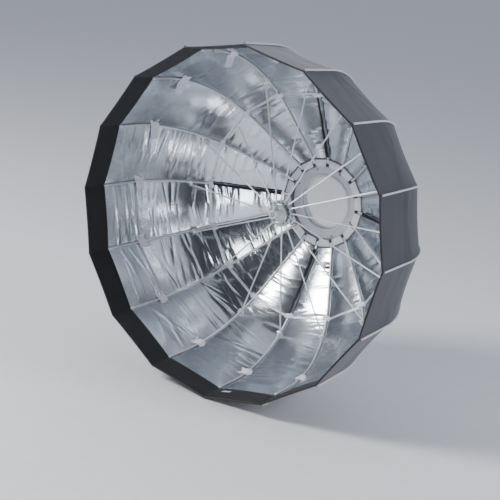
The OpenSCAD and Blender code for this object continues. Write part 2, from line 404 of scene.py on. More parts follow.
class PatchMesh:
    """Grids of points collected into one mesh, with UVs in metres, shading normals and finishes."""

    def __init__(self) -> None:
        """Starts empty."""
        self.points: list[np.ndarray] = []
        self.faces: list[np.ndarray] = []
        self.uvs: list[np.ndarray] = []
        self.normals: list[np.ndarray] = []
        self.slots: list[np.ndarray] = []
        self.count = 0

    def grid(self, points: np.ndarray, uv: np.ndarray, normals: np.ndarray, slot: int = 0,
             slots: Optional[np.ndarray] = None) -> None:
        """Adds a grid of faces.

        Args:
            points: Places, of shape (n, m, 3).
            uv: Flat places in metres, of shape (n, m, 2).
            normals: Shading normals, of shape (n, m, 3), or of each face's corners, (n-1, m-1, 4, 3).
            slot: The finish of every face.
            slots: The finish of each face, of shape (n-1, m-1), in place of slot.
        """
        n, m = points.shape[:2]
        index = np.arange(n * m).reshape(n, m) + self.count
        ring = [(slice(None, -1), slice(None, -1)), (slice(None, -1), slice(1, None)),
                (slice(1, None), slice(1, None)), (slice(1, None), slice(None, -1))]
        faces = np.stack([index[r] for r in ring], axis=-1)
        face_uv = np.stack([uv[r] for r in ring], axis=-2)
        corner = normals if normals.ndim == 4 else np.stack([normals[r] for r in ring], axis=-2)
        across = points[1:, 1:] - points[:-1, :-1]
        back = points[1:, :-1] - points[:-1, 1:]
        facing = np.cross(across, back)
        if (facing * corner.mean(axis=-2)).sum() < 0:
            faces, face_uv, corner = faces[..., ::-1], face_uv[..., ::-1, :], corner[..., ::-1, :]
        self.points.append(points.reshape(-1, 3))
        self.faces.append(faces.reshape(-1, 4))
        self.uvs.append(face_uv.reshape(-1, 2))
        self.normals.append(corner.reshape(-1, 3))
        kinds = np.full((n - 1, m - 1), slot) if slots is None else slots
        self.slots.append(kinds.reshape(-1))
        self.count += n * m

    def tube(self, path: np.ndarray, radius: float, side: np.ndarray, sides: int = 10, slot: int = 0) -> None:
        """Adds a round tube with open ends.

        Args:
            path: The centre line, of shape (n, 3).
            radius: The tube's radius.
            side: A direction that is never along the path.
            sides: How many faces go round it.
            slot: Its finish.
        """
        along = unit(np.gradient(path, axis=0))
        first = unit(np.cross(along, side))
        second = np.cross(along, first)
        turn = np.linspace(0, math.tau, sides + 1)
        around = first[:, None] * np.cos(turn)[None, :, None] + second[:, None] * np.sin(turn)[None, :, None]
        length = np.concatenate([[0], np.cumsum(np.linalg.norm(np.diff(path, axis=0), axis=1))])
        uv = np.stack(np.broadcast_arrays(turn[None] * radius, length[:, None]), axis=-1)
        self.grid(path[:, None] + around * radius, uv, around, slot)

    def build(self, name: str, finishes: Sequence[object], wardrobe: Wardrobe) -> bpy.types.Object:
        """Makes the object.

        Args:
            name: The piece's name.
            finishes: The finish of each slot.
            wardrobe: Where the materials are kept.

        Returns:
            The new object, linked to the scene.
        """
        mesh = bpy.data.meshes.new(name)
        points, faces = np.concatenate(self.points), np.concatenate(self.faces)
        mesh.vertices.add(len(points))
        mesh.vertices.foreach_set("co", points.astype(np.float32).ravel())
        mesh.loops.add(faces.size)
        mesh.loops.foreach_set("vertex_index", faces.astype(np.int32).ravel())
        mesh.polygons.add(len(faces))
        mesh.polygons.foreach_set("loop_start", np.arange(0, faces.size, 4, dtype=np.int32))
        mesh.polygons.foreach_set("material_index", np.concatenate(self.slots).astype(np.int32))
        mesh.update(calc_edges=True)
        layer = mesh.uv_layers.new(name="Flat")
        layer.data.foreach_set("uv", np.concatenate(self.uvs).astype(np.float32).ravel())
        mesh.polygons.foreach_set("use_smooth", np.ones(len(faces), bool))
        mesh.normals_split_custom_set(unit(np.concatenate(self.normals)).tolist())
        for finish in finishes:
            mesh.materials.append(wardrobe.get(finish))
        made = bpy.data.objects.new(name, mesh)
        bpy.context.scene.collection.objects.link(made)
        return made


def soften(mesh: bmesh.types.BMesh, sharp_angle: float) -> None:
    """Shades a mesh smooth, but keeps its edges sharper than an angle."""
    for face in mesh.faces:
        face.smooth = True
    for edge in mesh.edges:
        edge.smooth = len(edge.link_faces) == 2 and edge.calc_face_angle(0.0) < sharp_angle


def turned_part(name: str, outline: Sequence[tuple[float, float]], centre: Vector, axis: Vector,
                steps: int = 48) -> bpy.types.Mesh:
    """Turns an outline of radius and height about an axis.

    Args:
        name: The mesh's name.
        outline: Radius and height of each corner. It starts and ends on the axis, or closes on itself.
        centre: Where height 0 lies.
        axis: The direction in which height grows.
        steps: How many faces go round.

    Returns:
        The mesh.
    """
    made = bmesh.new()
    turn = axis.to_track_quat("Z", "Y")
    rows = []
    for radius, height in outline:
        if radius < 1e-7:
            rows.append([made.verts.new(centre + turn @ Vector((0, 0, height)))])
            continue
        angles = [math.tau * k / steps for k in range(steps)]
        ring = [Vector((radius * math.cos(a), radius * math.sin(a), height)) for a in angles]
        rows.append([made.verts.new(centre + turn @ place) for place in ring])
    for low, high in zip(rows, rows[1:]):
        for k in range(steps):
            corners = [low[k % len(low)], low[(k + 1) % len(low)],
                       high[(k + 1) % len(high)], high[k % len(high)]]
            unique = list(dict.fromkeys(corners))
            if len(unique) > 2:
                made.faces.new(unique)
    bmesh.ops.recalc_face_normals(made, faces=made.faces)
    soften(made, math.radians(40))
    mesh = bpy.data.meshes.new(name)
    made.to_mesh(mesh)
    made.free()
    return mesh


def joined(name: str, meshes: Sequence[bpy.types.Mesh]) -> bpy.types.Mesh:
    """One mesh of several, which stay apart inside it."""
    made = bmesh.new()
    for mesh in meshes:
        made.from_mesh(mesh)
    whole = bpy.data.meshes.new(name)
    made.to_mesh(whole)
    made.free()
    return whole


def piece_of(name: str, mesh: bpy.types.Mesh, material: bpy.types.Material) -> bpy.types.Object:
    """An object of one mesh and one material, linked to the scene."""
    mesh.materials.clear()
    mesh.materials.append(material)
    made = bpy.data.objects.new(name, mesh)
    bpy.context.scene.collection.objects.link(made)
    return made


def welded_copy(node: bpy.types.Object, bevel: float, segments: int = 2,
                weld: float = 2e-6) -> bpy.types.Mesh:
    """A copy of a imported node's mesh, welded, with its edges broken by a small round.

    Args:
        node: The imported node.
        bevel: How far each sharp edge is cut back.
        segments: Faces across the round.
        weld: The distance under which points are one.

    Returns:
        The new mesh.
    """
    made = bmesh.new()
    made.from_mesh(node.data)
    bmesh.ops.remove_doubles(made, verts=made.verts, dist=weld)
    bmesh.ops.dissolve_limit(made, angle_limit=math.radians(0.5), verts=made.verts, edges=made.edges)
    if bevel:
        sharp = [e for e in made.edges
                 if len(e.link_faces) == 2 and e.calc_face_angle(0.0) > math.radians(35)]
        bmesh.ops.bevel(made, geom=sharp, offset=bevel, segments=segments, profile=0.6, affect="EDGES",
                        clamp_overlap=True)
    soften(made, math.radians(38))
    mesh = bpy.data.meshes.new(f"{node.name}_finish")
    made.to_mesh(mesh)
    made.free()
    return mesh


# ---------------------------------------------------------------- repeats by geometry nodes


def group_input(tree: bpy.types.NodeTree, name: str, kind: str) -> str:
    """Adds an input to a node group, and gives its identifier."""
    return tree.interface.new_socket(name=name, in_out="INPUT", socket_type=f"NodeSocket{kind}").identifier


class CircleOfParts:
    """A geometry node tree that repeats its own part around the Y axis."""

    def __init__(self) -> None:
        """Builds the tree, with the count and the first angle as inputs."""
        tree = bpy.data.node_groups.new("circle_of_parts", "GeometryNodeTree")
        face = tree.interface
        face.new_socket(name="Geometry", in_out="INPUT", socket_type="NodeSocketGeometry")
        self.count = group_input(tree, "Count", "Int")
        self.first = group_input(tree, "First angle", "Float")
        self.finish = group_input(tree, "Finish", "Material")
        face.new_socket(name="Geometry", in_out="OUTPUT", socket_type="NodeSocketGeometry")
        add = tree.nodes.new
        given, result = add("NodeGroupInput"), add("NodeGroupOutput")
        row, index = add("GeometryNodeMeshLine"), add("GeometryNodeInputIndex")
        place, real = add("GeometryNodeInstanceOnPoints"), add("GeometryNodeRealizeInstances")
        share, turn, offset = add("ShaderNodeMath"), add("ShaderNodeMath"), add("ShaderNodeMath")
        spin, paint = add("ShaderNodeCombineXYZ"), add("GeometryNodeSetMaterial")
        row.inputs["Offset"].default_value = (0, 0, 0)
        share.operation, turn.operation, offset.operation = "DIVIDE", "MULTIPLY", "ADD"
        turn.inputs[1].default_value = math.tau
        link = tree.links.new
        link(given.outputs["Count"], row.inputs["Count"])
        link(row.outputs["Mesh"], place.inputs["Points"])
        link(given.outputs["Geometry"], place.inputs["Instance"])
        link(index.outputs["Index"], share.inputs[0])
        link(given.outputs["Count"], share.inputs[1])
        link(share.outputs["Value"], turn.inputs[0])
        link(turn.outputs["Value"], offset.inputs[0])
        link(given.outputs["First angle"], offset.inputs[1])
        link(offset.outputs["Value"], spin.inputs["Y"])
        link(spin.outputs["Vector"], place.inputs["Rotation"])
        link(place.outputs["Instances"], real.inputs["Geometry"])
        link(real.outputs["Geometry"], paint.inputs["Geometry"])
        link(given.outputs["Finish"], paint.inputs["Material"])
        link(paint.outputs["Geometry"], result.inputs["Geometry"])
        self.tree = tree

    def make(self, name: str, part: bpy.types.Mesh, count: int, first: float,
             material: bpy.types.Material) -> bpy.types.Object:
        """Repeats a part around the axis.

        Args:
            name: The piece's name.
            part: The part, where it lies at angle 0.
            count: How many there are.
            first: The first one's angle, from +X towards +Z, in radians.
            material: Their finish.

        Returns:
            A plain mesh object.
        """
        made = piece_of(name, part, material)
        modifier = made.modifiers.new("circle", "NODES")
        modifier.node_group = self.tree
        modifier[self.count] = count
        modifier[self.first] = -first
        modifier[self.finish] = material
        return applied(made)


class SweptRod:
    """A geometry node tree that sweeps a round bar along the piece's own line."""

    def __init__(self) -> None:
        """Builds the tree, with the radius and the number of sides as inputs."""
        tree = bpy.data.node_groups.new("swept_rod", "GeometryNodeTree")
        face = tree.interface
        face.new_socket(name="Geometry", in_out="INPUT", socket_type="NodeSocketGeometry")
        self.radius = group_input(tree, "Radius", "Float")
        self.sides = group_input(tree, "Sides", "Int")
        self.finish = group_input(tree, "Finish", "Material")
        face.new_socket(name="Geometry", in_out="OUTPUT", socket_type="NodeSocketGeometry")
        add = tree.nodes.new
        given, result = add("NodeGroupInput"), add("NodeGroupOutput")
        line, circle = add("GeometryNodeMeshToCurve"), add("GeometryNodeCurvePrimitiveCircle")
        sweep, smooth = add("GeometryNodeCurveToMesh"), add("GeometryNodeSetShadeSmooth")
        real, paint = add("GeometryNodeRealizeInstances"), add("GeometryNodeSetMaterial")
        sweep.inputs["Fill Caps"].default_value = True
        link = tree.links.new
        link(given.outputs["Geometry"], line.inputs["Mesh"])
        link(line.outputs["Curve"], sweep.inputs["Curve"])
        link(given.outputs["Radius"], circle.inputs["Radius"])
        link(given.outputs["Sides"], circle.inputs["Resolution"])
        link(circle.outputs["Curve"], sweep.inputs["Profile Curve"])
        link(sweep.outputs["Mesh"], smooth.inputs["Geometry"])
        link(smooth.outputs["Geometry"], real.inputs["Geometry"])
        link(real.outputs["Geometry"], paint.inputs["Geometry"])
        link(given.outputs["Finish"], paint.inputs["Material"])
        link(paint.outputs["Geometry"], result.inputs["Geometry"])
        self.tree = tree

    def make(self, name: str, path: np.ndarray, radius: float, sides: int,
             material: bpy.types.Material) -> bpy.types.Object:
        """Sweeps a bar along a path.

        Args:
            name: The piece's name.
            path: The centre line, of shape (n, 3).
            radius: The bar's radius.
            sides: Faces around it.
            material: Its finish.

        Returns:
            A plain mesh object.
        """
        mesh = bpy.data.meshes.new(name)
        mesh.from_pydata(path.tolist(), [(k, k + 1) for k in range(len(path) - 1)], [])
        made = piece_of(name, mesh, material)
        modifier = made.modifiers.new("sweep", "NODES")
        modifier.node_group = self.tree
        modifier[self.radius] = radius
        modifier[self.sides] = sides
        modifier[self.finish] = material
        return applied(made)


def applied(made: bpy.types.Object) -> bpy.types.Object:
    """Turns what an object's modifiers make into its own plain mesh."""
    bpy.context.view_layer.update()
    seen = made.evaluated_get(bpy.context.evaluated_depsgraph_get())
    mesh = bpy.data.meshes.new_from_object(seen)
    mesh.name = made.name
    made.modifiers.clear()
    made.data = mesh
    return made


# ---------------------------------------------------------------- the cover


@dataclass(frozen=True)
class RibLine:
    """Centre line of a rib in its own plane: a straight root, a bow, a straight tail and the lip past it."""

    pivot_r: float = 0.118
    pivot_h: float = 0.028
    root_angle: float = math.radians(28.3)
    bow_start_r: float = 0.279
    bow_r: float = 0.326
    rim_angle: float = math.radians(87)
    tail: float = 0.065
    lip: float = 0.073
    fold: float = math.radians(45)

    @property
    def root_len(self) -> float:
        """Length of the straight root."""
        return (self.bow_start_r - self.pivot_r) / math.cos(self.root_angle)

    @property
    def bow_end(self) -> float:
        """Distance along the rib at which the bow ends."""
        return self.root_len + self.bow_r * (self.rim_angle - self.root_angle)

    @property
    def tip(self) -> float:
        """Distance along the rib of its tip."""
        return self.bow_end + self.tail

    @property
    def end(self) -> float:
        """Distance along the rib of the lip's front edge."""
        return self.tip + self.lip

    def slope(self, s: np.ndarray) -> np.ndarray:
        """Angle of the line above the ring's plane."""
        return np.clip(self.root_angle + (s - self.root_len) / self.bow_r, self.root_angle, self.rim_angle)

    def at(self, s: np.ndarray, out: float = 0.0) -> tuple[np.ndarray, np.ndarray]:
        """Radius and height of places along the line.

        Args:
            s: Distances along the rib from its hinge pin.
            out: Offset outwards.

        Returns:
            Radii and heights.
        """
        s = np.asarray(s, float)
        a = self.slope(s)
        root, tail = np.minimum(s, self.root_len), np.maximum(s - self.bow_end, 0)
        r = self.pivot_r + root * math.cos(self.root_angle) + tail * math.cos(self.rim_angle)
        h = self.pivot_h + root * math.sin(self.root_angle) + tail * math.sin(self.rim_angle)
        r = r + self.bow_r * (np.sin(a) - math.sin(self.root_angle))
        h = h - self.bow_r * (np.cos(a) - math.cos(self.root_angle))
        return r + out * np.sin(a), h - out * np.cos(a)


@dataclass(frozen=True)
class Crease:
    """One tension wrinkle, which starts at a rib and fades towards the next."""

    place: float
    lean: float
    width: float
    height: float
    reach: float
    from_next: bool

    def lift(self, s: np.ndarray, u: np.ndarray, chord: np.ndarray) -> np.ndarray:
        """How far the wrinkle lifts the cloth.

        Args:
            s: Distances along the rib.
            u: Shares of the way from the gore's first rib to its next.
            chord: Distances between the two ribs.

        Returns:
            Heights, positive inwards.
        """
        way = (1 - u if self.from_next else u) / self.reach
        inside = np.clip(way, 0, 1)
        shape = inside**0.45 * (1 - inside) ** 1.1 * 1.75
        across = (s - self.place - self.lean * inside * self.reach * chord) / self.width
        return self.height * shape * (np.exp(-np.abs(across) ** 1.5) - 0.45 * np.exp(-((across / 1.9) ** 2)))


@dataclass
class Layer:
    """One layer of the cover: the silver lining or the outer shell."""

    line: RibLine
    out: float
    hollow: float
    stations: np.ndarray
    half_steps: int
    inwards: bool
    creases: dict[int, list[Crease]]
    points: list[np.ndarray] = field(default_factory=list)
    normals: list[np.ndarray] = field(default_factory=list)

    def place(self, gore: int, s: np.ndarray, u: np.ndarray, lift: np.ndarray | float = 0.0) -> np.ndarray:
        """Places on a gore.

        Args:
            gore: The gore between the rib of that number and the next.
            s: Distances along the rib.
            u: Shares of the way from the first rib to the next.
            lift: How far inwards of the cloth each place lies.

        Returns:
            Points in the frame.
        """
        r, h = self.line.at(s, self.out)
        a = self.line.slope(s)
        chord = 2 * r * math.sin(HALF)
        bare = np.clip((self.line.tip - s) / 0.05, 0, 1)
        inward = self.hollow * chord * 4 * u * (1 - u) * (0.35 + 0.65 * bare) + lift
        held = np.clip((s - 0.02) / 0.03, 0, 1) * bare
        for crease in self.creases.get(gore, ()):
            inward = inward + held * crease.lift(s, u, chord)
        radial = r * math.cos(HALF) - inward * np.sin(a)
        height = h + inward * np.cos(a)
        return to_row(radial, chord * (u - 0.5), height, rib_angle(gore) + HALF)

    def lay(self) -> None:
        """Works out every gore's points and shading normals."""
        s, u = np.meshgrid(self.stations, np.linspace(0, 1, 2 * self.half_steps + 1), indexing="ij")
        for gore in range(1, RIBS + 1):
            points = self.place(gore, s, u)
            along = np.gradient(points, self.stations, axis=0)
            across = np.gradient(points, axis=1)
            normals = unit(np.cross(along, across))
            centre = to_row(np.cos(0.0), 0.0, 0.0, rib_angle(gore) + HALF)
            if (normals @ centre).mean() * (-1 if self.inwards else 1) < 0:
                normals = -normals
            self.points.append(points)
            self.normals.append(normals)

    def strip(self, rib: int, rows: slice) -> tuple[np.ndarray, np.ndarray, np.ndarray]:
        """The strip from the middle of one gore, over a rib, to the middle of the next.

        Args:
            rib: The rib's number.
            rows: Which stations it covers.

        Returns:
            Points, flat places in metres, and the normals of each face's corners.
        """
        before, after, m = (rib - 2) % RIBS, rib - 1, self.half_steps
        points = np.concatenate([self.points[before][rows, m:], self.points[after][rows, 1:m + 1]], axis=1)
        left, right = self.normals[before][rows, m:], self.normals[after][rows, :m + 1]
        ring = [(slice(None, -1), slice(None, -1)), (slice(None, -1), slice(1, None)),
                (slice(1, None), slice(1, None)), (slice(1, None), slice(None, -1))]
        corners = np.concatenate([np.stack([left[r] for r in ring], axis=-2),
                                  np.stack([right[r] for r in ring], axis=-2)], axis=1)
        s = self.stations[rows]
        chord = 2 * self.line.at(s, self.out)[0] * math.sin(HALF)
        across = np.linspace(-0.5, 0.5, 2 * m + 1)
        uv = np.stack(np.broadcast_arrays(chord[:, None] * across[None], s[:, None]), axis=-1)
        return points, uv, corners


@dataclass
class Cover:
    """The sewn cover: a silver lining and a black shell on sixteen ribs, with an unlined lip in front."""

    wardrobe: Wardrobe
    line: RibLine = RibLine()
    start: float = 0.0145
    breaks: tuple[float, ...] = (0.045, 0.09, 0.14, 0.195, 0.255, 0.315, 0.375, 0.43, 0.485, 0.535)
    lip_break: float = 0.036
    lining_out: float = 0.003
    shell_out: float = 0.0072
    lining_step: float = 0.0021
    shell_step: float = 0.006
    lining_half_steps: int = 16
    shell_half_steps: int = 8
    lining_hollow: float = 0.035
    shell_hollow: float = 0.018
    piping_r: float = 0.0026
    hem_r: float = 0.0021
    crinkle: tuple[float, ...] = (0.55, 0.5, 0.4, 0.4, 0.35, 0.3, 0.35, 0.75,
                                  1.0, 1.0, 0.85, 0.7, 0.45, 0.5, 0.6, 0.6)
    creases_per_gore: int = 64
    folds_per_gore: int = 18
    tip_squeeze: float = 0.7
    seed: int = 11

    def __post_init__(self) -> None:
        """Lays both layers."""
        tip = self.line.tip
        self.borders = [self.start, *self.breaks, tip, tip + self.lip_break, self.line.end]
        self.lining = Layer(self.line, self.lining_out, self.lining_hollow, self.stations(self.lining_step),
                            self.lining_half_steps, True, self.wrinkles())
        self.shell = Layer(self.line, self.shell_out, self.shell_hollow, self.stations(self.shell_step),
                           self.shell_half_steps, False, self.slack())
        self.lining.lay()
        self.shell.lay()

    def stations(self, step: float) -> np.ndarray:
        """Distances along the rib about a step apart, with one on each border."""
        runs = [np.linspace(a, b, max(2, round((b - a) / step) + 1))[:-1]
                for a, b in zip(self.borders, self.borders[1:])]
        return np.concatenate([*runs, [self.borders[-1]]])

    def wrinkles(self) -> dict[int, list[Crease]]:
        """The lining's tension wrinkles, the same ones each time."""
        found: dict[int, list[Crease]] = {}
        for gore in range(1, RIBS + 1):
            draw = np.random.default_rng(self.seed * 100 + gore)
            strength = self.crinkle[gore - 1]
            rows = []
            for _ in range(self.creases_per_gore):
                place = draw.uniform(0.03, self.line.tip - 0.03)
                inner = place < 0.28
                force = max(strength, 0.55) if inner else strength
                width = draw.uniform(0.0028, 0.0085)
                height = width * draw.uniform(0.15, 0.62) * force
                reach = draw.uniform(0.35, 1.0) if force > 0.6 else draw.uniform(0.25, 0.7)
                lean = draw.normal(0.05, 0.16)
                rows.append(Crease(place, lean, width, height, reach, bool(draw.random() < 0.5)))
            found[gore] = rows
        return found

    def slack(self) -> dict[int, list[Crease]]:
        """The shell's wide folds, the same ones each time."""
        found: dict[int, list[Crease]] = {}
        for gore in range(1, RIBS + 1):
            draw = np.random.default_rng(self.seed * 200 + gore)
            found[gore] = [Crease(draw.uniform(0.06, 0.56), draw.normal(0, 0.3), draw.uniform(0.009, 0.022),
                                  -draw.uniform(0.0008, 0.0024), draw.uniform(0.35, 1.0),
                                  bool(draw.random() < 0.5))
                           for _ in range(self.folds_per_gore)]
        return found

    def keep(self, s: float) -> float:
        """Share of its width that the cover keeps at s when the frame is folded."""
        r, h = (float(v) for v in self.line.at(np.array(s), self.lining_out))
        middle = r * math.cos(HALF)
        depth, side = middle * math.cos(HALF), middle * math.sin(HALF)
        folded = (self.line.pivot_r + (depth - self.line.pivot_r) * math.cos(self.line.fold)
                  - (h - self.line.pivot_h) * math.sin(self.line.fold))
        return max(0.03, min(1.0, folded * math.tan(HALF) / side))

    def rows(self, layer: Layer, part: int) -> slice:
        """Which of a layer's stations a part of the strip covers."""
        low, high = (int(np.argmin(abs(layer.stations - b))) for b in self.borders[part:part + 2])
        return slice(low, high + 1)

    def edge_roll(self, rib: int, at_end: bool, mesh: PatchMesh, slot: int) -> None:
        """Joins lining and shell round an edge, as a rolled hem.

        Args:
            rib: The rib's number.
            at_end: True for the front edge, False for the edge at the ring.
            mesh: The mesh that it is added to.
            slot: Its finish.
        """
        row = -1 if at_end else 0
        inner = self.lining.strip(rib, slice(None))[0][row, ::self.lining_half_steps // self.shell_half_steps]
        outer = self.shell.strip(rib, slice(None))[0][row]
        s = self.line.end if at_end else self.start
        a = float(self.line.slope(np.array(s)))
        ahead = to_row(math.cos(a), 0.0, math.sin(a), rib_angle(rib)) * (1 if at_end else -1)
        turn = np.linspace(0, math.pi, 7)[:, None, None]
        middle, swing = (inner + outer) / 2, (inner - outer) / 2
        bulge = unit(ahead) * self.hem_r * 1.2
        points = middle[None] + np.cos(turn) * swing[None] + np.sin(turn) * bulge
        normals = unit(np.cos(turn) * unit(swing)[None] + np.sin(turn) * unit(ahead))
        across = np.linalg.norm(outer - outer[self.shell_half_steps], axis=1)
        across[:self.shell_half_steps] *= -1
        uv = np.stack(np.broadcast_arrays(across[None], turn[:, :, 0] * self.hem_r), axis=-1)
        mesh.grid(points, uv, normals, slot)

    def piping_path(self, rib: int, low: float, high: float) -> np.ndarray:
        """The piping's centre line along a rib's seam."""
        s = np.linspace(low, high, max(3, round((high - low) / 0.006)))
        r, h = self.line.at(s, self.shell_out + 0.6 * self.piping_r)
        return to_row(r, 0.0, h, rib_angle(rib))

    def seam_band(self, rib: int, mesh: PatchMesh, middle: float, width: float, slot: int) -> None:
        """A tape sewn round the lining between the ties."""
        s = np.linspace(middle - width / 2, middle + width / 2, 5)
        lifts = np.array([0.0, 0.0009, 0.0011, 0.0009, 0.0])
        for gore, low, high in (((rib - 2) % RIBS + 1, 0.5, 1.0), (rib, 0.0, 0.5)):
            u = np.linspace(low, high, self.lining_half_steps + 1)
            grid_s, grid_u = np.meshgrid(s, u, indexing="ij")
            points = self.lining.place(gore, grid_s, grid_u, np.broadcast_to(lifts[:, None], grid_s.shape))
            normals = -unit(np.cross(np.gradient(points, axis=0), np.gradient(points, axis=1)))
            inward = -to_row(1.0, 0.0, 0.0, rib_angle(gore) + HALF)
            if (normals @ inward).mean() < 0:
                normals = -normals
            chord = 2 * self.line.at(s, self.lining_out)[0] * math.sin(HALF)
            uv = np.stack([chord[:, None] * (u[None] - 0.5), grid_s], axis=-1)
            mesh.grid(points, uv, normals, slot)

    def build_part(self, rib: int, part: int) -> bpy.types.Object:
        """Builds one stretch of a rib's strip: lining, shell, piping and, at the ends, the hem.

        Args:
            rib: The rib's number.
            part: Which stretch, from 0 at the ring.

        Returns:
            The piece.
        """
        low, high = self.borders[part], self.borders[part + 1]
        in_lip = low > self.line.tip - 1e-6
        mesh = PatchMesh()
        for layer, slot in ((self.lining, 2 if in_lip else 0), (self.shell, 1)):
            points, uv, corners = layer.strip(rib, self.rows(layer, part))
            mesh.grid(points, uv, corners, slot)
        side = to_row(0.0, 1.0, 0.0, rib_angle(rib))
        last = part == len(self.borders) - 2
        piping_end = high - 0.002 if last else high
        mesh.tube(self.piping_path(rib, low, piping_end), self.piping_r, side, 10, 3)
        if part == 0 or last:
            self.edge_roll(rib, last, mesh, 2)
        if low < SEAM_AT < high:
            self.seam_band(rib, mesh, SEAM_AT, 0.008, 4)
        finishes = (LINING, SHELL, LIP_CLOTH, PIPING, SEAM)
        made = mesh.build(f"cover_{rib:02d}_{part + 1:02d}", finishes, self.wardrobe)
        self.attach(made, rib, part)
        return made

    def attach(self, made: bpy.types.Object, rib: int, part: int) -> None:
        low, high = self.borders[part], self.borders[part + 1]
        body = rib_name("rib_unit_", rib)
        if part == 0:
            first, last = (self.on_rib(rib, s) for s in (low, high))
            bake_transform(made)
        else:
            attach(made, body)
            side = to_row(0.0, 1.0, 0.0, rib_angle(rib))
            at_end = part == len(self.borders) - 2
            between = 0.8 * self.keep(low) + 0.2 * self.keep(high)
            share = self.tip_squeeze * self.keep(high) if at_end else between
            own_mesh(made)
        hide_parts(rib_name("canopy_", rib))
        s = np.linspace(low, high, 9)
        widths = 2 * self.line.at(s, 0.5 * (self.lining_out + self.shell_out))[0] * math.sin(HALF)

    def on_rib(self, rib: int, s: float) -> tuple[float, float, float]:
        """A point on a rib's centre line."""
        r, h = self.line.at(np.array(s))
        return tuple(float(v) for v in to_row(r, 0.0, h, rib_angle(rib)))

    def build(self) -> None:
        """Builds every stretch of every strip."""
        for rib in range(1, RIBS + 1):
            for part in range(len(self.borders) - 1):
                self.build_part(rib, part)
        LOG.info("cover: %d stretches on %d ribs", len(self.borders) - 1, RIBS)


SEAM_AT = 0.230
SEAM = ClothFinish("seam_tape", (0.70, 0.73, 0.78), (0.60, 0.63, 0.68), 0.30, 0.45, 0.0011, 0.00006,
                   metallic=0.8)


@dataclass(frozen=True)
class Strap:
    """A short strap sewn across a rib to hold the rod to the lining."""

    name: str
    middle: float
    width: float
    sewn: float
    loose: float
    thickness: float = 0.0009
    clearance: float = 0.0012
    over_rod: float = 0.0027
    side_fall: float = 0.55
    held_past_rod: float = 0.004
    free_from: float = 0.003
    bend_length: float = 0.012
    belly: float = 0.0012
    corner_cut: float = 0.16


class StrapKind(Enum):
    """The two straps on each rib."""

    MID_TIE = Strap("mid_tie", SEAM_AT, 0.013, 0.012, 0.014)
    OUTER_TAB = Strap("outer_tab", 0.461, 0.027, 0.026, 0.044)


